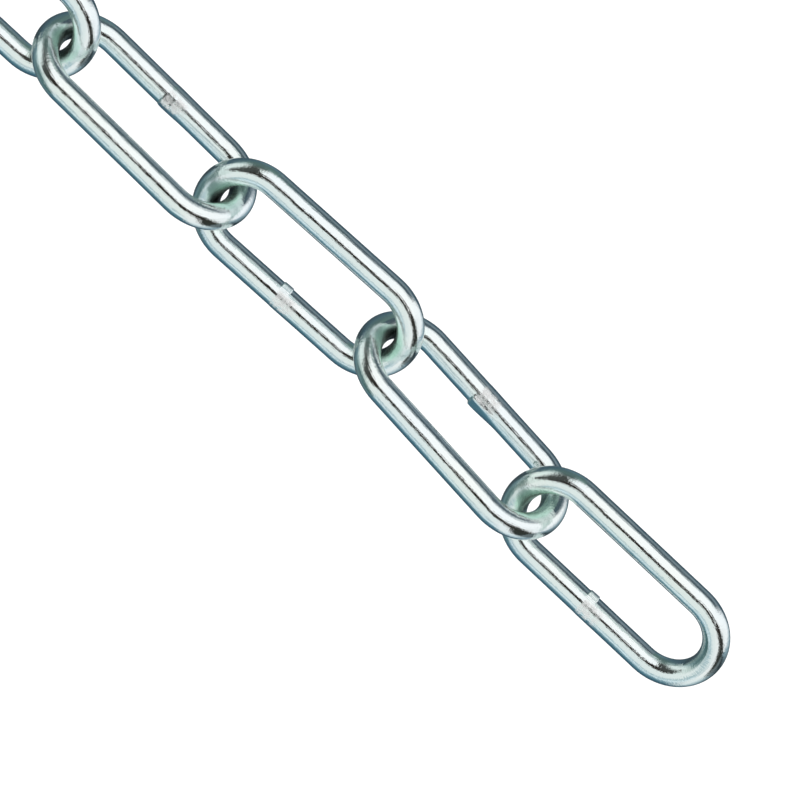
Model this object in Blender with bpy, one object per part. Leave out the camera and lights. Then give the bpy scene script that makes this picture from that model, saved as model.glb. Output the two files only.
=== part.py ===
"""One metre of welded long link steel chain, laid out straight on a level floor.

Metres, +Z up. The chain runs along X, with the free end at +X, and its lowest faces lie at Z = 0.
"""

import math

import bmesh
import bpy
from mathutils import Matrix, Vector

# Driving dimensions of one link
WIRE = 0.004  # diameter of the wire that the link is bent from
PITCH = 0.032  # inside length of a link
INSIDE_WIDTH = 0.0098  # clear width between a link's legs

# How the links lie
LINKS = 31  # a metre when it is pulled tight: 31 pitches and one wire at each end
SPACING = 0.03135  # from the middle of a link to the middle of the next, a little slack
END_SPACING = 0.0307  # between the two links at the free end, which lie looser
ZIGZAG = 2.7  # degrees that each link points off the line, to alternate sides
SIDE_STEP = 0.00015  # each link's middle lies this far off the line, to alternate sides
LINE_Y = -0.0015  # where the line lies, so that the whole chain has its middle at the origin
# The links at the free end lie a little off the line: the degrees that each one points off it,
# and the distance of its middle from it
FREE_END = {1: (2.3, 0.0032), 2: (-2.3, 0.0028), 3: (3.7, 0.0029), 4: (1.1, 0.00105)}

# How finely the round shapes are faceted
SIDES = 14  # around the wire
CROWN_STEPS = 8  # along the half circle at each end of a link

# Each link leans out of the floor, its weld side down, two facets short of upright: 38.6 degrees.
# Its lower leg then lies flat on one facet.
ROLL = math.pi / 2 - 2 * (2 * math.pi / SIDES)

ZINC_COLOUR = (0.70, 0.73, 0.74, 1.0)
ZINC_ROUGHNESS = 0.18

# Worked out from the dimensions above
LEG_SPACING = INSIDE_WIDTH + WIRE
CROWN_RADIUS = LEG_SPACING / 2
LEG_HALF = PITCH / 2 + WIRE / 2 - CROWN_RADIUS  # half of a leg's straight stretch
CROWN_TIP = PITCH / 2 + WIRE / 2  # from a link's middle to the wire's middle at its end
# A faceted wire as heavy as the round one has its corners a little outside the circle
CORNER_RADIUS = WIRE / 2 * math.sqrt(2 * math.pi / (SIDES * math.sin(2 * math.pi / SIDES)))
FACET_RADIUS = CORNER_RADIUS * math.cos(math.pi / SIDES)
MIDDLE_HEIGHT = FACET_RADIUS + CROWN_RADIUS * math.sin(ROLL)
ROOT = (LINKS + 1) // 2
FIRST_X = (END_SPACING + (LINKS - 2) * SPACING) / 2  # the middle of link 1


def clear_scene():
    """Takes away whatever the file opened with."""
    for old in list(bpy.data.objects):
        bpy.data.objects.remove(old, do_unlink=True)


def zinc():
    """Bright zinc plating on mild steel."""
    material = bpy.data.materials.new("bright_zinc")
    material.use_nodes = True
    shader = material.node_tree.nodes["Principled BSDF"]
    shader.inputs["Base Color"].default_value = ZINC_COLOUR
    shader.inputs["Metallic"].default_value = 1.0
    shader.inputs["Roughness"].default_value = ZINC_ROUGHNESS
    return material


def leg(bm, ring, reach):
    """Pushes an open ring of edges along X and gives back the new ring."""
    grown = bmesh.ops.extrude_edge_only(bm, edges=ring)["geom"]
    corners = [item for item in grown if isinstance(item, bmesh.types.BMVert)]
    bmesh.ops.translate(bm, verts=corners, vec=(reach, 0, 0))
    return [item for item in grown if isinstance(item, bmesh.types.BMEdge) and set(item.verts) <= set(corners)]


def crown(bm, ring, middle):
    """Sweeps an open ring half a turn about a crown's middle and gives back the new ring."""
    swept = bmesh.ops.spin(
        bm, geom=ring, cent=(middle, 0, 0), axis=(0, 0, 1), angle=math.pi, steps=CROWN_STEPS, use_merge=False
    )["geom_last"]
    return [item for item in swept if isinstance(item, bmesh.types.BMEdge)]


def link_mesh(material):
    """One link as a closed loop of wire, flat in XY, with its middle at the origin and the weld leg at -Y."""
    bm = bmesh.new()
    half_facet = Matrix.Rotation(math.pi / SIDES, 4, "Z")
    on_leg = Matrix.Translation((0, -CROWN_RADIUS, 0)) @ Matrix.Rotation(math.pi / 2, 4, "Y") @ half_facet
    start = bmesh.ops.create_circle(
        bm, cap_ends=False, segments=SIDES, radius=CORNER_RADIUS, matrix=on_leg
    )["verts"]
    ring = list({edge for corner in start for edge in corner.link_edges})
    ring = leg(bm, ring, LEG_HALF)
    ring = crown(bm, ring, LEG_HALF)
    ring = leg(bm, ring, -2 * LEG_HALF)
    ring = crown(bm, ring, -LEG_HALF)
    leg(bm, ring, LEG_HALF)
    bmesh.ops.remove_doubles(bm, verts=bm.verts, dist=0.00001)
    bmesh.ops.recalc_face_normals(bm, faces=bm.faces)
    mesh = bpy.data.meshes.new("link")
    bm.to_mesh(mesh)
    bm.free()
    mesh.materials.append(material)
    mesh.shade_smooth()
    mesh.set_sharp_from_angle(angle=math.radians(60))
    return mesh


def lie(number):
    """Where a link lies: its middle, its lean, with the weld leg down, and its turn off the line."""
    odd = number % 2 == 1
    zigzag = (ZIGZAG, SIDE_STEP) if odd else (-ZIGZAG, -SIDE_STEP)
    degrees, aside = FREE_END.get(number, zigzag)
    x = FIRST_X if number == 1 else FIRST_X - END_SPACING - (number - 2) * SPACING
    turn = Matrix.Rotation(math.radians(degrees), 4, "Z")
    lean = Matrix.Rotation(ROLL if odd else math.pi - ROLL, 4, "X")
    return Matrix.Translation((x, LINE_Y + aside, MIDDLE_HEIGHT)) @ turn @ lean


def hinge(number):
    """The middle of the crown wire that a link swings about: the end of the link next to it, nearer the root."""
    inner = number + 1 if number < ROOT else number - 1
    tip = Vector((CROWN_TIP if number < ROOT else -CROWN_TIP, 0, 0))
    return Matrix.Translation(lie(inner) @ tip)


def build():
    """Lays the chain, with each link hung on an empty at the crown that it swings about."""
    mesh = link_mesh(zinc())
    collection = bpy.context.scene.collection
    links = {}
    outward = sorted(range(1, LINKS + 1), key=lambda number: abs(number - ROOT))
    for number in outward:
        link = bpy.data.objects.new(f"link_{number:02d}", mesh)
        link.matrix_basis = lie(number)
        collection.objects.link(link)
        links[number] = link
        if number == ROOT:
            continue
        inner = number + 1 if number < ROOT else number - 1
        pivot = bpy.data.objects.new(f"pivot_{number:02d}", None)
        pivot.empty_display_size = WIRE
        collection.objects.link(pivot)
        pivot.matrix_basis = hinge(number)
        pivot.parent = links[inner]
        pivot.matrix_parent_inverse = lie(inner).inverted()
        link.parent = pivot
        link.matrix_parent_inverse = hinge(number).inverted()
    bpy.context.view_layer.update()


clear_scene()
build()
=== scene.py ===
import math

import bmesh
import bpy
from mathutils import Matrix, Vector


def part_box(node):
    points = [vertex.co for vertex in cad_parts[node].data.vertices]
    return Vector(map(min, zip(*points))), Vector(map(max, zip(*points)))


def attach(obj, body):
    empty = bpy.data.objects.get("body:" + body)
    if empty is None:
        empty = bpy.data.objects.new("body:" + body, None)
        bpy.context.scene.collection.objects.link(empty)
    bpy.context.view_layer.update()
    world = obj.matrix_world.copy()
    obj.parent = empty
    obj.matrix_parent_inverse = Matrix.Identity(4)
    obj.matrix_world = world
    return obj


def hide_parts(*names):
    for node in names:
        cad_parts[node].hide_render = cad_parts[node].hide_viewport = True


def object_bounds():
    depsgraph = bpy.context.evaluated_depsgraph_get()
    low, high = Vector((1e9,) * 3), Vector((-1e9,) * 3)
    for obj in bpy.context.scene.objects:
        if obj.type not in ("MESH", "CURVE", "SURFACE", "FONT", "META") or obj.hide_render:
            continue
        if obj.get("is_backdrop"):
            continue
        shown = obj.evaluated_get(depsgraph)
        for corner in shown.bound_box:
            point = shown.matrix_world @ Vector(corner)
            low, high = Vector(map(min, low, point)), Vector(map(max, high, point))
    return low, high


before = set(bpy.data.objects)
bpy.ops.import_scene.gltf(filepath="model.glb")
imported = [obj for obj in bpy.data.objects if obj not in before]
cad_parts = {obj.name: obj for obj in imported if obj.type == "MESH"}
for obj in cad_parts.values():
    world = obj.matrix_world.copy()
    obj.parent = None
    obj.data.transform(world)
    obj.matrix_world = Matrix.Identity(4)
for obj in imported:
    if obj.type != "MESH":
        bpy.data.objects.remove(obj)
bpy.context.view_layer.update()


# The links. Each one is a cut length of round steel wire, bent into a long loop and butt welded
# in the middle of one leg. The weld leaves a small raised pad or a longer swelling on the
# window's side, or some of both. All of it is bright zinc plated after welding.
WIRE = 0.004
PITCH = 0.032
INSIDE_WIDTH = 0.0098
SOLID_FACETS = 14  # around the wire of the solid links
ROLL = math.radians(90 - 2 * 360 / SOLID_FACETS)  # out of the floor, two facets short of upright
ZIGZAG = 2.7  # degrees that a link points off the line, to alternate sides
FREE_END_TURNS = {1: 2.3, 2: -2.3, 3: 3.7, 4: 1.1}  # the same, for the links at the free end

WIRE_RADIUS = WIRE / 2
CROWN_RADIUS = (INSIDE_WIDTH + WIRE) / 2
LEG_HALF = PITCH / 2 + WIRE / 2 - CROWN_RADIUS
LEG_LENGTH = 2 * LEG_HALF
CROWN_LENGTH = math.pi * CROWN_RADIUS
LOOP_LENGTH = 2 * (LEG_LENGTH + CROWN_LENGTH)

WIRE_SIDES = 56
CROWN_STEPS = 36  # along a crown
PAD_REACH = 0.0012  # to each side of the weld, the stretch with the closest rings
PAD_RINGS = 20
TAPER_REACH = 0.0056  # as far as this the rings are still close, on the side that tapers
TAPER_RINGS = 22
MERGE_DISTANCE = 0.00001
ORDER_DIGITS = 6  # places are told apart to a thousandth of a millimetre


def push(bm, ring, reach):
    """Extrudes an open ring of edges along X."""
    grown = bmesh.ops.extrude_edge_only(bm, edges=ring)["geom"]
    corners = [item for item in grown if isinstance(item, bmesh.types.BMVert)]
    bmesh.ops.translate(bm, verts=corners, vec=(reach, 0, 0))
    moved = set(corners)
    return [item for item in grown if isinstance(item, bmesh.types.BMEdge) and moved.issuperset(item.verts)]


def bend(bm, ring, middle):
    """Spins an open ring half a turn about the middle of a crown."""
    swept = bmesh.ops.spin(
        bm, geom=ring, cent=(middle, 0, 0), axis=(0, 0, 1), angle=math.pi, steps=CROWN_STEPS, use_merge=False
    )["geom_last"]
    return [item for item in swept if isinstance(item, bmesh.types.BMEdge)]


def along_wire(point):
    """How far round the loop a point lies from the weld, its place about the wire's middle, and how
    far outward in the loop it lies from there."""
    x, y, z = point
    if abs(x) <= LEG_HALF:
        side = math.copysign(1, y)
        run = x if y < 0 else LOOP_LENGTH / 2 - x
        return run, Vector((0, y - side * CROWN_RADIUS, z)), y * side - CROWN_RADIUS
    end = math.copysign(1, x)
    reach = Vector((x - end * LEG_HALF, y))
    turn = math.atan2(reach.x * end, -reach.y)
    run = end * (LEG_HALF + turn * CROWN_RADIUS)
    middle = Vector((end * LEG_HALF, 0)) + reach.normalized() * CROWN_RADIUS
    return run, Vector((x - middle.x, y - middle.y, z)), reach.length - CROWN_RADIUS


def ease(low, high, value):
    """Rises smoothly from 0 at low to 1 at high."""
    share = min(max((value - low) / (high - low), 0), 1)
    return share * share * (3 - 2 * share)


PAD_HALF = 0.00075  # half the pad's length along the wire
PAD_RAMP = 0.00014  # its steep ends
PAD_FOOT = 32  # degrees round the wire, from the window's side up: here the pad's flat face starts
PAD_RIDGE = -2  # here it ends
PAD_BACK = -40  # here the back of the pad meets the wire
FLANK_AT = 13  # degrees round the wire: the middle of the swollen stretch's flat side
FLANK_HALF = 28  # from there to the ridge along each side of it
FLANK_BACK = 14  # from a ridge down to the wire
FLANK_RISE = 0.0001  # of the flat side's middle over the wire
FLANK_START = (-0.0010, -0.0006)  # along the wire, from the weld: here the swollen stretch rises
FLANK_FULL = -0.0004  # as far as this it stays, and then it tapers off
FLANK_LENGTH = 0.0050  # and ends
COLLAR_SWELL = 0.00003  # all round the weld
ROUGH_START = (-0.0008, -0.0004)  # along the wire, from the weld: here the rough side sets in
ROUGH_END = (0.0018, 0.0034)  # and here it ends
ROUGH_HALF = (26, 44)  # degrees round the wire, to each side of its middle, where it fades

# Each kind of weld: how far it lies off the leg's middle, how much of a pad and of a flank it has,
# and the middle of its rough side, in degrees round the wire
WELDS = (
    (0.0004, 0.8, 0.15, 60),
    (-0.0001, 1.0, 0.0, 75),
    (-0.0011, 0.0, 1.0, -52),
    (-0.0003, 0.9, 0.0, 75),
    (0.0002, 0.5, 0.4, -30),
)


def around(angle, middle, full, none):
    """A share that is 1 near an angle round the wire and 0 far from it."""
    return ease(math.cos(math.radians(none)), math.cos(math.radians(full)), math.cos(angle - middle))


def pad_rise(angle):
    """How far the pad stands out from the round wire: a flat face up to a ridge, then a slope."""
    past = PAD_FOOT - math.degrees(angle)
    ridge = PAD_FOOT - PAD_RIDGE
    flat = WIRE_RADIUS / math.cos(math.radians(min(max(past, 0), ridge))) - WIRE_RADIUS
    return flat * (1 - ease(ridge, PAD_FOOT - PAD_BACK, past))


def flank_rise(angle):
    """How far the swollen stretch stands out: a flat side between two ridges."""
    past = abs(math.degrees(angle) - FLANK_AT)
    flat = (WIRE_RADIUS + FLANK_RISE) / math.cos(math.radians(min(past, FLANK_HALF))) - WIRE_RADIUS
    return flat * (1 - ease(FLANK_HALF, FLANK_HALF + FLANK_BACK, past))


def weld_swell(run, angle, pad_share, flank_share):
    """How far the surface stands out at a place near the weld."""
    pad = ease(-PAD_HALF - PAD_RAMP, -PAD_HALF, run) * (1 - ease(PAD_HALF, PAD_HALF + PAD_RAMP, run))
    flank = ease(*FLANK_START, run) * (1 - ease(FLANK_FULL, FLANK_LENGTH, run))
    collar = ease(-PAD_HALF, 0, run) * (1 - ease(0, FLANK_LENGTH, run))
    swell = pad_share * pad * pad_rise(angle) + flank_share * flank * flank_rise(angle)
    return swell + COLLAR_SWELL * collar


def weld_roughness(run, angle, middle):
    """How rough the surface is at a place near the weld, from 0 to 1."""
    along = ease(*ROUGH_START, run) * (1 - ease(*ROUGH_END, run))
    return along * around(angle, math.radians(middle), *ROUGH_HALF)


def settle(items, place):
    """Puts corners or faces in an order that is the same each run."""
    ordered = sorted(items, key=lambda item: [round(value, ORDER_DIGITS) for value in place(item)])
    for index, item in enumerate(ordered):
        item.index = index
    items.sort()


def link_mesh(name, weld):
    """A link flat in XY, its weld leg at -Y, with the wire unrolled into an attribute for the drawn lines."""
    bm = bmesh.new()
    start = Matrix.Translation((0, -CROWN_RADIUS, 0)) @ Matrix.Rotation(math.pi / 2, 4, "Y")
    circle = bmesh.ops.create_circle(
        bm, cap_ends=False, segments=WIRE_SIDES, radius=WIRE_RADIUS, matrix=start
    )["verts"]
    ring = list(dict.fromkeys(edge for corner in circle for edge in corner.link_edges))
    for _ in range(PAD_RINGS):
        ring = push(bm, ring, PAD_REACH / PAD_RINGS)
    for _ in range(TAPER_RINGS):
        ring = push(bm, ring, (TAPER_REACH - PAD_REACH) / TAPER_RINGS)
    ring = push(bm, ring, LEG_HALF - TAPER_REACH)
    ring = bend(bm, ring, LEG_HALF)
    ring = push(bm, ring, -LEG_LENGTH)
    ring = bend(bm, ring, -LEG_HALF)
    ring = push(bm, ring, LEG_HALF - PAD_REACH)
    for _ in range(PAD_RINGS):
        ring = push(bm, ring, PAD_REACH / PAD_RINGS)
    bmesh.ops.remove_doubles(bm, verts=bm.verts, dist=MERGE_DISTANCE)
    bmesh.ops.recalc_face_normals(bm, faces=bm.faces)
    settle(bm.verts, lambda corner: corner.co)
    settle(bm.faces, lambda face: face.calc_center_median())

    wire = bm.loops.layers.float_vector.new("wire")
    welded = bm.verts.layers.float.new("welded")
    places = {corner: along_wire(corner.co) for corner in bm.verts}
    for face in bm.faces:
        middle = along_wire(face.calc_center_median())[0]
        for loop in face.loops:
            run, _, outward = places[loop.vert]
            run -= LOOP_LENGTH * round((run - middle) / LOOP_LENGTH)
            loop[wire] = Vector((run, outward, loop.vert.co.z))

    shift, pad_share, flank_share, rough_middle = weld
    for corner, (run, out, outward) in places.items():
        if abs(run) < TAPER_REACH:
            angle = math.atan2(out.z, -outward)
            corner[welded] = weld_roughness(run, angle, rough_middle)
            corner.co += out.normalized() * weld_swell(run, angle, pad_share, flank_share)
            corner.co.x += shift * (1 - ease(0, LEG_HALF, abs(run)))
    mesh = bpy.data.meshes.new(name)
    bm.to_mesh(mesh)
    bm.free()
    mesh.shade_smooth()
    mesh.attributes.new("held", "FLOAT", "POINT")
    return mesh


ZINC_PLAIN = (0.790, 0.845, 0.830, 1)
ZINC_BLUE = (0.760, 0.830, 0.850, 1)
ZINC_PAINTED_GREEN = (0.660, 0.900, 0.790, 1)  # painted reflection: green light mirrored between two links, inside the bends
ZINC_PAINTED_SHADE = (0.010, 0.016, 0.016, 1)  # painted shade, near black, where one link bears on the next
ZINC_MATT = (0.960, 0.970, 0.970, 1)  # rough and burnt, at the weld

PAINTED_GREEN_HALF = (0.25, 0.45)  # of a crown's length, from its middle: here the painted green fades
PAINTED_GREEN_OUTWARD = (-0.8, -0.1)  # of the wire's radius, from the inside of the bend: here too
PAINTED_GREEN_THIN = 0.3  # the share of painted green that is left where its noise is low
PAINTED_GREEN_METAL = 0.75  # how metallic the surface stays where the painted green is full
SHADE_REACH = 0.0022  # how near the next link must be for the painted shade
SHADE_SAMPLES = 12
SHADE_OPEN = (0.25, 0.65)  # how open a place is, from full painted shade to none
BURNT_LESS_METAL = 0.75
BURNT_ROUGHER = 0.22
BENT_HALF = (0.45, 0.65)  # of a crown's length, from its middle: here the ripples fade
POLISH = (0.05, 0.09)  # the plain plating's roughness

# The part of each noise's values that counts: from little painted green to full, from the plain tint to the
# blue one, from plain to burnt, and from the smoothest grain to the roughest
PAINTED_GREEN_SPREAD = (0.3, 0.6)
TINT_SPREAD = (0.35, 0.65)
BURNT_SPREAD = (0.34, 0.52)
GRAIN_SPREAD = (0.3, 0.7)

# Each noise: its waves to a metre, how many finer layers it has, and how strong they are
PAINTED_GREEN_NOISE = (300, 2, 0.5)
TINT_NOISE = (90, 2, 0.5)
BURNT_NOISE = (1300, 2, 0.6)
SPECKLE_NOISE = (4200, 2, 0.6)
SWAY_NOISE = (200, 2, 0.5)
GRAIN_NOISE = (2600, 2, 0.6)
# Each noise that follows the wire: its waves to a metre across and along it, then the same two
RIB_NOISE = (900, 6500, 1, 0.5)
RIPPLE_NOISE = (1100, 3800, 2, 0.5)
DRAWN_NOISE = (4200, 200, 3, 0.6)
PIT_SCALE = 420  # pits to a metre
PIT_EDGE = (0.03, 0.08)  # of the distance between pits: from a pit's floor to the plain surface

# How deep each kind of relief goes
SWAY_DEPTH = 0.00012
DRAWN_DEPTH = 0.000025
GRAIN_DEPTH = 0.000020
PIT_DEPTH = 0.000010
RIPPLE_DEPTH = 0.000018
SPECKLE_DEPTH = 0.000018
RIB_DEPTH = 0.000012

# The places of a mixing node's colour sockets: two that go in and one that comes out
MIX_LOW = 6
MIX_HIGH = 7
MIX_RESULT = 2


def node_tools(tree):
    """Short ways to add the nodes that both the plating and the room use."""

    def feed(socket, value):
        if isinstance(value, (float, tuple)):
            socket.default_value = value
        else:
            tree.links.new(value, socket)

    def maths(operation, first, second):
        node = tree.nodes.new("ShaderNodeMath")
        node.operation = operation
        feed(node.inputs[0], first)
        feed(node.inputs[1], second)
        return node.outputs["Value"]

    def mixed(share, low, high):
        node = tree.nodes.new("ShaderNodeMix")
        node.data_type = "RGBA"
        feed(node.inputs["Factor"], share)
        feed(node.inputs[MIX_LOW], low)
        feed(node.inputs[MIX_HIGH], high)
        return node.outputs[MIX_RESULT]

    return maths, mixed


def bright_zinc():
    """Bright zinc plating: nearly a mirror, with a thin cool film, over wire that was drawn and welded, with
    a green reflection painted inside the bends and painted shade between links.
    """
    material = bpy.data.materials.new("bright_zinc_plating")
    material.use_nodes = True
    nodes, links = material.node_tree.nodes, material.node_tree.links
    maths, mixed = node_tools(material.node_tree)
    shader = nodes["Principled BSDF"]
    place = nodes.new("ShaderNodeTexCoord").outputs["Object"]

    def attribute(name, output="Fac"):
        node = nodes.new("ShaderNodeAttribute")
        node.attribute_name = name
        return node.outputs[output]

    wire = attribute("wire", "Vector")
    split = nodes.new("ShaderNodeSeparateXYZ")
    links.new(wire, split.inputs["Vector"])
    run, outward = split.outputs["X"], split.outputs["Y"]

    def noise(vector, scale, detail, roughness):
        node = nodes.new("ShaderNodeTexNoise")
        node.inputs["Scale"].default_value = scale
        node.inputs["Detail"].default_value = detail
        node.inputs["Roughness"].default_value = roughness
        links.new(vector, node.inputs["Vector"])
        return node.outputs["Fac"]

    def drawn_out(across, along, detail, roughness):
        unroll = nodes.new("ShaderNodeVectorMath")
        unroll.operation = "ABSOLUTE"
        links.new(wire, unroll.inputs[0])
        scale = nodes.new("ShaderNodeMapping")
        scale.inputs["Scale"].default_value = (along, across, across)
        links.new(unroll.outputs["Vector"], scale.inputs["Vector"])
        return noise(scale.outputs["Vector"], 1, detail, roughness)

    def mapped(value, low, high, to_low, to_high):
        node = nodes.new("ShaderNodeMapRange")
        node.inputs["From Min"].default_value = low
        node.inputs["From Max"].default_value = high
        node.inputs["To Min"].default_value = to_low
        node.inputs["To Max"].default_value = to_high
        links.new(value, node.inputs["Value"])
        return node.outputs["Result"]

    def bump(height, distance, normal=None):
        node = nodes.new("ShaderNodeBump")
        node.inputs["Distance"].default_value = distance
        links.new(height, node.inputs["Height"])
        if normal:
            links.new(normal, node.inputs["Normal"])
        return node.outputs["Normal"]

    def falling(value, unit, span):
        """1 up to the span's start and 0 past its end, both in a unit."""
        return mapped(value, unit * span[0], unit * span[1], 1, 0)

    # Painted reflection: inside the bends that hold the next link the colour is painted greener and less
    # metallic, in uneven patches, standing in for green light mirrored between the two links
    away = maths("ABSOLUTE", maths("SUBTRACT", maths("ABSOLUTE", run, 0.0), LOOP_LENGTH / 4), 0.0)
    held = maths("MULTIPLY", falling(away, CROWN_LENGTH, PAINTED_GREEN_HALF), attribute("held"))
    inner = falling(outward, WIRE_RADIUS, PAINTED_GREEN_OUTWARD)
    green_patches = mapped(noise(place, *PAINTED_GREEN_NOISE), *PAINTED_GREEN_SPREAD, PAINTED_GREEN_THIN, 1)
    film = maths("MULTIPLY", maths("MULTIPLY", held, inner), green_patches)
    tint = mapped(noise(place, *TINT_NOISE), *TINT_SPREAD, 0, 1)
    colour = mixed(film, mixed(tint, ZINC_PLAIN, ZINC_BLUE), ZINC_PAINTED_GREEN)

    # Painted shade: the colour turns near black in the narrow places between two links, where an occlusion
    # test finds the next link close by
    near = nodes.new("ShaderNodeAmbientOcclusion")
    near.samples = SHADE_SAMPLES
    near.inputs["Distance"].default_value = SHADE_REACH
    painted_shade = maths("MULTIPLY", falling(near.outputs["AO"], 1, SHADE_OPEN), attribute("held"))
    colour = mixed(painted_shade, colour, ZINC_PAINTED_SHADE)

    # The welded stretch is rough and burnt in spots
    welded = attribute("welded")
    burnt = maths("MULTIPLY", welded, mapped(noise(place, *BURNT_NOISE), *BURNT_SPREAD, 0, 1))
    links.new(mixed(burnt, colour, ZINC_MATT), shader.inputs["Base Color"])
    # Less metallic where the green reflection is painted, and where the weld is burnt
    metal = maths("SUBTRACT", mapped(film, 0, 1, 1, PAINTED_GREEN_METAL), maths("MULTIPLY", burnt, BURNT_LESS_METAL))
    links.new(metal, shader.inputs["Metallic"])

    # The surface waves slowly, with fine lines along the wire, a grain and a few pits. Bending
    # leaves ripples across the wire, and welding leaves speckle and ribs.
    spots = nodes.new("ShaderNodeTexVoronoi")
    spots.inputs["Scale"].default_value = PIT_SCALE
    links.new(place, spots.inputs["Vector"])
    grain = noise(place, *GRAIN_NOISE)
    ripples = maths("MULTIPLY", drawn_out(*RIPPLE_NOISE), falling(away, CROWN_LENGTH, BENT_HALF))
    normal = bump(noise(place, *SWAY_NOISE), SWAY_DEPTH)
    normal = bump(drawn_out(*DRAWN_NOISE), DRAWN_DEPTH, normal)
    normal = bump(grain, GRAIN_DEPTH, normal)
    normal = bump(mapped(spots.outputs["Distance"], *PIT_EDGE, 0, 1), PIT_DEPTH, normal)
    normal = bump(ripples, RIPPLE_DEPTH, normal)
    normal = bump(maths("MULTIPLY", noise(place, *SPECKLE_NOISE), welded), SPECKLE_DEPTH, normal)
    normal = bump(maths("MULTIPLY", drawn_out(*RIB_NOISE), welded), RIB_DEPTH, normal)
    links.new(normal, shader.inputs["Normal"])
    polish = mapped(grain, *GRAIN_SPREAD, *POLISH)
    links.new(maths("ADD", polish, maths("MULTIPLY", burnt, BURNT_ROUGHER)), shader.inputs["Roughness"])
    return material


zinc = bright_zinc()
kinds = [link_mesh(f"link_kind_{number}", weld) for number, weld in enumerate(WELDS)]
for node in sorted(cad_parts):
    number = int(node.split("_")[1])
    odd = number % 2 == 1
    low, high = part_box(node)
    degrees = FREE_END_TURNS.get(number, ZIGZAG if odd else -ZIGZAG)
    turn = Matrix.Rotation(math.radians(degrees), 4, "Z")
    lean = Matrix.Rotation(ROLL if odd else math.pi - ROLL, 4, "X")
    mesh = kinds[number % len(kinds)].copy()
    mesh.name = f"{node}_plated"
    free_side = {1: 1, len(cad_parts): -1}.get(number, 0)  # the chain's two ends hold nothing
    for corner, held in zip(mesh.vertices, mesh.attributes["held"].data):
        held.value = corner.co.x * free_side <= 0
    mesh.transform(Matrix.Translation((low + high) / 2) @ turn @ lean)
    mesh.materials.append(zinc)
    link = bpy.data.objects.new(f"{node}_plated", mesh)
    bpy.context.scene.collection.objects.link(link)
    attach(link, node)
    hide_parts(node)


# The floor is a white sheet that is lit from behind, as on a light table, so that it shows no
# shadow. It lies deeper than the chain's ends reach when they hang, so that it never hides a link.
# The plating doesn't mirror it: in the room's light below, the sheet is far away.
FLOOR_HALF = 30.0
FLOOR_DEPTH = 0.6
SHEET_COLOUR = (0.3, 0.3, 0.3, 1)
SHEET_ROUGHNESS = 0.8
SHEET_LIGHT = (1, 1, 1, 1)
SHEET_STRENGTH = 0.95

bm = bmesh.new()
deep = Matrix.Translation((0, 0, -FLOOR_DEPTH))
bmesh.ops.create_grid(bm, x_segments=1, y_segments=1, size=FLOOR_HALF, matrix=deep)
floor_mesh = bpy.data.meshes.new("floor")
bm.to_mesh(floor_mesh)
bm.free()
floor = bpy.data.objects.new("floor", floor_mesh)
bpy.context.scene.collection.objects.link(floor)
sheet = bpy.data.materials.new("white_sheet")
sheet.use_nodes = True
sheet_shader = sheet.node_tree.nodes["Principled BSDF"]
sheet_shader.inputs["Base Color"].default_value = SHEET_COLOUR
sheet_shader.inputs["Roughness"].default_value = SHEET_ROUGHNESS
sheet_shader.inputs["Emission Color"].default_value = SHEET_LIGHT
sheet_shader.inputs["Emission Strength"].default_value = SHEET_STRENGTH
floor.data.materials.append(sheet)
floor.visible_glossy = False
floor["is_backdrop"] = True


# The room is a studio with two long soft boxes over the chain, one to each side, and a dark slot
# between them that shows as the thin dark line along each leg. It is darker towards the floor.
# A direction's bank is its angle about the chain's line, from straight up towards +Y.

# Beside the chain: a soft box towards -Y, a brighter one towards +Y and dim walls below them
SIDE_ROOM = (
    (-180, (0.06, 0.10, 0.12)),
    (-135, (0.05, 0.12, 0.17)),
    (-112, (0.11, 0.24, 0.30)),
    (-101, (0.30, 0.44, 0.50)),
    (-92, (0.80, 0.94, 0.98)),
    (-84, (0.82, 0.94, 0.98)),
    (-80, (0.40, 0.54, 0.58)),
    (-75, (0.40, 0.54, 0.58)),
    (-70, (0.90, 0.95, 0.93)),
    (-12, (0.92, 0.96, 0.93)),
    (-8, (1.00, 1.00, 1.00)),
    (6, (1.18, 1.16, 1.16)),
    (55, (1.18, 1.16, 1.16)),
    (62, (0.75, 0.80, 0.82)),
    (72, (0.16, 0.19, 0.21)),
    (80, (0.05, 0.08, 0.10)),
    (88, (0.08, 0.12, 0.14)),
    (98, (0.23, 0.28, 0.32)),
    (113, (0.21, 0.27, 0.31)),
    (124, (0.05, 0.09, 0.12)),
    (180, (0.06, 0.10, 0.12)),
)
# A little towards the far end: the same soft boxes over darker, greener walls
BEND_ROOM = (
    (-180, (0.05, 0.07, 0.08)),
    (-148, (0.12, 0.18, 0.20)),
    (-125, (0.14, 0.24, 0.26)),
    (-108, (0.06, 0.13, 0.13)),
    (-94, (0.08, 0.15, 0.15)),
    (-83, (0.52, 0.64, 0.64)),
    (-70, (0.92, 0.96, 0.94)),
    (-12, (0.92, 0.96, 0.93)),
    (6, (1.18, 1.16, 1.16)),
    (50, (1.12, 1.12, 1.12)),
    (63, (0.30, 0.40, 0.38)),
    (82, (0.13, 0.21, 0.19)),
    (100, (0.11, 0.18, 0.17)),
    (114, (0.13, 0.21, 0.23)),
    (128, (0.12, 0.20, 0.24)),
    (150, (0.08, 0.13, 0.16)),
    (180, (0.05, 0.07, 0.08)),
)
# Towards the free end: white nearly all round
FREE_END_ROOM = (
    (-180, (0.02, 0.03, 0.035)),
    (-150, (0.30, 0.42, 0.48)),
    (-118, (0.85, 0.93, 0.94)),
    (-90, (1.00, 1.00, 0.99)),
    (-12, (1.00, 1.00, 0.98)),
    (5, (1.18, 1.16, 1.16)),
    (110, (1.10, 1.10, 1.12)),
    (150, (0.30, 0.42, 0.48)),
    (180, (0.02, 0.03, 0.035)),
)
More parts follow.
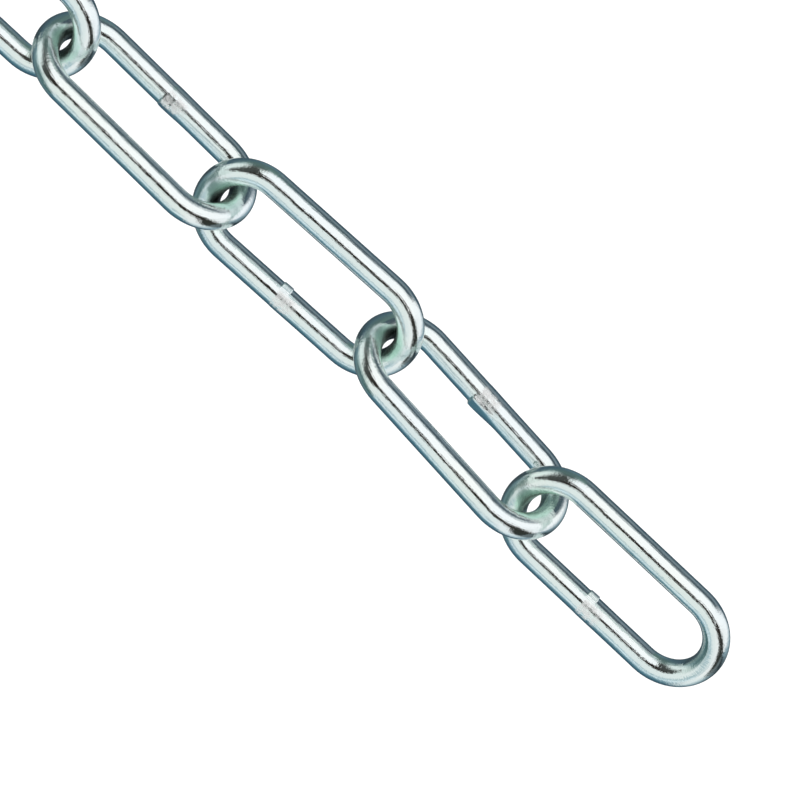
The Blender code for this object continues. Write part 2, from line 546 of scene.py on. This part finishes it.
# Nearly straight towards the free end: a black panel towards -Y and white towards +Y
CAP_ROOM = (
    (-180, (0.02, 0.03, 0.035)),
    (-120, (0.20, 0.24, 0.25)),
    (-102, (0.04, 0.045, 0.04)),
    (0, (0.035, 0.035, 0.03)),
    (24, (1.00, 1.00, 1.00)),
    (110, (1.10, 1.10, 1.12)),
    (150, (0.30, 0.42, 0.48)),
    (180, (0.02, 0.03, 0.035)),
)
# Towards the far end: one pale soft box overhead between dark walls
FAR_END_ROOM = (
    (-180, (0.05, 0.07, 0.08)),
    (-150, (0.07, 0.12, 0.14)),
    (-128, (0.15, 0.25, 0.27)),
    (-112, (0.13, 0.21, 0.21)),
    (-97, (0.09, 0.17, 0.17)),
    (-84, (0.22, 0.32, 0.32)),
    (-66, (0.64, 0.74, 0.70)),
    (-50, (0.86, 0.94, 0.90)),
    (32, (0.95, 1.00, 0.97)),
    (46, (0.12, 0.15, 0.14)),
    (66, (0.10, 0.15, 0.14)),
    (82, (0.11, 0.18, 0.17)),
    (100, (0.10, 0.16, 0.16)),
    (118, (0.09, 0.16, 0.18)),
    (140, (0.07, 0.12, 0.15)),
    (162, (0.06, 0.10, 0.12)),
    (180, (0.05, 0.07, 0.08)),
)
# Nearly straight towards the far end: pale overhead, with softer edges
BEYOND_ROOM = (
    (-180, (0.05, 0.08, 0.09)),
    (-158, (0.08, 0.13, 0.15)),
    (-135, (0.16, 0.25, 0.28)),
    (-112, (0.19, 0.29, 0.31)),
    (-92, (0.40, 0.52, 0.52)),
    (-68, (0.74, 0.84, 0.81)),
    (-45, (0.88, 0.96, 0.92)),
    (40, (0.88, 0.95, 0.92)),
    (66, (0.60, 0.70, 0.68)),
    (84, (0.34, 0.44, 0.44)),
    (98, (0.18, 0.28, 0.29)),
    (112, (0.09, 0.14, 0.16)),
    (138, (0.08, 0.13, 0.16)),
    (162, (0.05, 0.09, 0.11)),
    (180, (0.05, 0.08, 0.09)),
)
# From where to where each room takes over: 1 is straight towards the free end, 0 is beside the
# chain and -1 straight towards the far end
TO_FREE_END = (0.30, 0.58)
TO_BEND = (-0.09, -0.20)
TO_FAR_END = (-0.40, -0.50)
TO_CAP = (0.74, 0.84)
TO_BEYOND = (-0.74, -0.92)

SLOT_NEAR = (0.03, 0.026, 0.022, 1)
SLOT_FAR = (0.07, 0.075, 0.07, 1)
SLOT_TO_FAR = (-0.40, -0.55)
SLOT_MIDDLE = -10.25  # degrees of bank
SLOT_HALF = 10.5  # the slot's half width beside the chain
SLOT_EDGE = 1.5  # degrees, to each side, over which it fades
# Towards the ends the slot grows wider and turns: from where, to where, and by how many degrees
SLOT_WIDER = ((0.10, 0.40, 2.0), (0.50, 0.84, 12.0), (-0.12, -0.40, 9.0), (-0.38, -0.66, 25.0))
SLOT_TURNS = ((-0.15, -0.40, -6.0), (-0.42, -0.62, 14.0))

# What one link mirrors of the room by way of another is filled with light
SECOND_BOUNCE = 2.5  # the depth of a ray that has left a second link is more than this
FILL = (0.95, 0.98, 0.97, 1)  # the lit sheet
FILL_BANK = (65, 110)  # degrees of bank, to each side: between them it sets in
FILL_ALONG = (0.35, 0.75)  # and the same towards each end
FILL_FREE_END = (0.86, 0.93, 0.91, 1)
FILL_FAR_END = (0.26, 0.34, 0.32, 1)
FILL_DEEP = (0.03, 0.05, 0.05, 1)  # what is left of it deep between the links
DEEP_BOUNCES = (3.0, 6.0)
BACKGROUND = (1, 1, 1, 1)


def room_world():
    """The studio as light from far away, from every direction."""
    world = bpy.data.worlds.new("studio")
    world.use_nodes = True
    nodes, links = world.node_tree.nodes, world.node_tree.links
    maths, mixed = node_tools(world.node_tree)
    direction = nodes.new("ShaderNodeSeparateXYZ")
    links.new(nodes.new("ShaderNodeTexCoord").outputs["Generated"], direction.inputs["Vector"])

    def smooth(value, low, high):
        node = nodes.new("ShaderNodeMapRange")
        node.interpolation_type = "SMOOTHSTEP"
        node.inputs["From Min"].default_value = low
        node.inputs["From Max"].default_value = high
        links.new(value, node.inputs["Value"])
        return node.outputs["Result"]

    def ramp(share, stops):
        node = nodes.new("ShaderNodeValToRGB")
        elements = node.color_ramp.elements
        elements.remove(elements[1])
        for index, (angle, colour) in enumerate(stops):
            element = elements[0] if index == 0 else elements.new((angle + 180) / 360)
            element.position = (angle + 180) / 360
            element.color = (*colour, 1)
        links.new(share, node.inputs["Fac"])
        return node.outputs["Color"]

    bank = maths("ARCTAN2", direction.outputs["Y"], direction.outputs["Z"])
    share = maths("ADD", maths("DIVIDE", bank, math.tau), 0.5)
    towards_end = direction.outputs["X"]

    def along_chain(start, changes):
        total = math.radians(start)
        for near, far, degrees in changes:
            change = maths("MULTIPLY", smooth(towards_end, near, far), math.radians(degrees))
            total = maths("ADD", total, change)
        return total

    light = mixed(smooth(towards_end, *TO_FREE_END), ramp(share, SIDE_ROOM), ramp(share, FREE_END_ROOM))
    light = mixed(smooth(towards_end, *TO_BEND), light, ramp(share, BEND_ROOM))
    light = mixed(smooth(towards_end, *TO_FAR_END), light, ramp(share, FAR_END_ROOM))
    half = along_chain(SLOT_HALF, SLOT_WIDER)
    off = maths("ABSOLUTE", maths("SUBTRACT", bank, along_chain(SLOT_MIDDLE, SLOT_TURNS)), 0.0)
    slot = smooth(maths("SUBTRACT", off, half), math.radians(SLOT_EDGE), math.radians(-SLOT_EDGE))
    light = mixed(slot, light, mixed(smooth(towards_end, *SLOT_TO_FAR), SLOT_NEAR, SLOT_FAR))
    light = mixed(smooth(towards_end, *TO_CAP), light, ramp(share, CAP_ROOM))
    light = mixed(smooth(towards_end, *TO_BEYOND), light, ramp(share, BEYOND_ROOM))

    path = nodes.new("ShaderNodeLightPath")
    depth = path.outputs["Ray Depth"]
    sideways = smooth(maths("ABSOLUTE", bank, 0.0), *(math.radians(degrees) for degrees in FILL_BANK))
    to_free_end = smooth(towards_end, *FILL_ALONG)
    to_far_end = smooth(towards_end, *(-along for along in FILL_ALONG))
    lit = maths("MAXIMUM", sideways, maths("MAXIMUM", to_free_end, to_far_end))
    filled = maths("MULTIPLY", maths("GREATER_THAN", depth, SECOND_BOUNCE), lit)
    light = mixed(filled, light, mixed(to_far_end, mixed(to_free_end, FILL, FILL_FREE_END), FILL_FAR_END))
    light = mixed(smooth(depth, *DEEP_BOUNCES), light, FILL_DEEP)
    links.new(mixed(path.outputs["Is Camera Ray"], light, BACKGROUND), nodes["Background"].inputs["Color"])
    return world


bpy.context.scene.world = room_world()


# The camera looks down on the free end from far off through a long lens, so that near and far
# legs look equally thick. The chain runs from the lower right of the picture to the upper left.
LENS = 300.0
SENSOR = 36.0
PICTURE = 800
WIRE_PIXELS = 28.04
CHAIN_SLOPE = math.radians(45.5)  # of the chain's line in the picture, down to the right
CAMERA_TILT = math.radians(-4.1)  # about the chain's line, from straight down
AIM_LINK = "link_02"
AIM_PIXEL = (461.4, 425.2)  # where the middle of that link shows
CLIP_START = 0.01
CLIP_END = 100

metre_per_pixel = WIRE / WIRE_PIXELS
back = Vector((0, math.sin(CAMERA_TILT), math.cos(CAMERA_TILT)))
chain = Vector((1, 0, 0))
across = back.cross(chain)
right = chain * math.cos(CHAIN_SLOPE) + across * math.sin(CHAIN_SLOPE)
up = across * math.cos(CHAIN_SLOPE) - chain * math.sin(CHAIN_SLOPE)
aim_low, aim_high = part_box(AIM_LINK)
aim = (aim_low + aim_high) / 2
aim -= right * (AIM_PIXEL[0] - PICTURE / 2) * metre_per_pixel
aim += up * (AIM_PIXEL[1] - PICTURE / 2) * metre_per_pixel
distance = LENS / SENSOR * PICTURE * metre_per_pixel
facing = Matrix((right, up, back)).transposed().to_4x4()
camera = bpy.data.objects.new("camera", bpy.data.cameras.new("camera"))
camera.data.lens = LENS
camera.data.sensor_width = SENSOR
camera.data.clip_start = CLIP_START
camera.data.clip_end = CLIP_END
camera.matrix_world = Matrix.Translation(aim + back * distance) @ facing
bpy.context.scene.collection.objects.link(camera)
bpy.context.scene.camera = camera
bpy.context.scene.view_settings.view_transform = "Standard"

low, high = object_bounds()
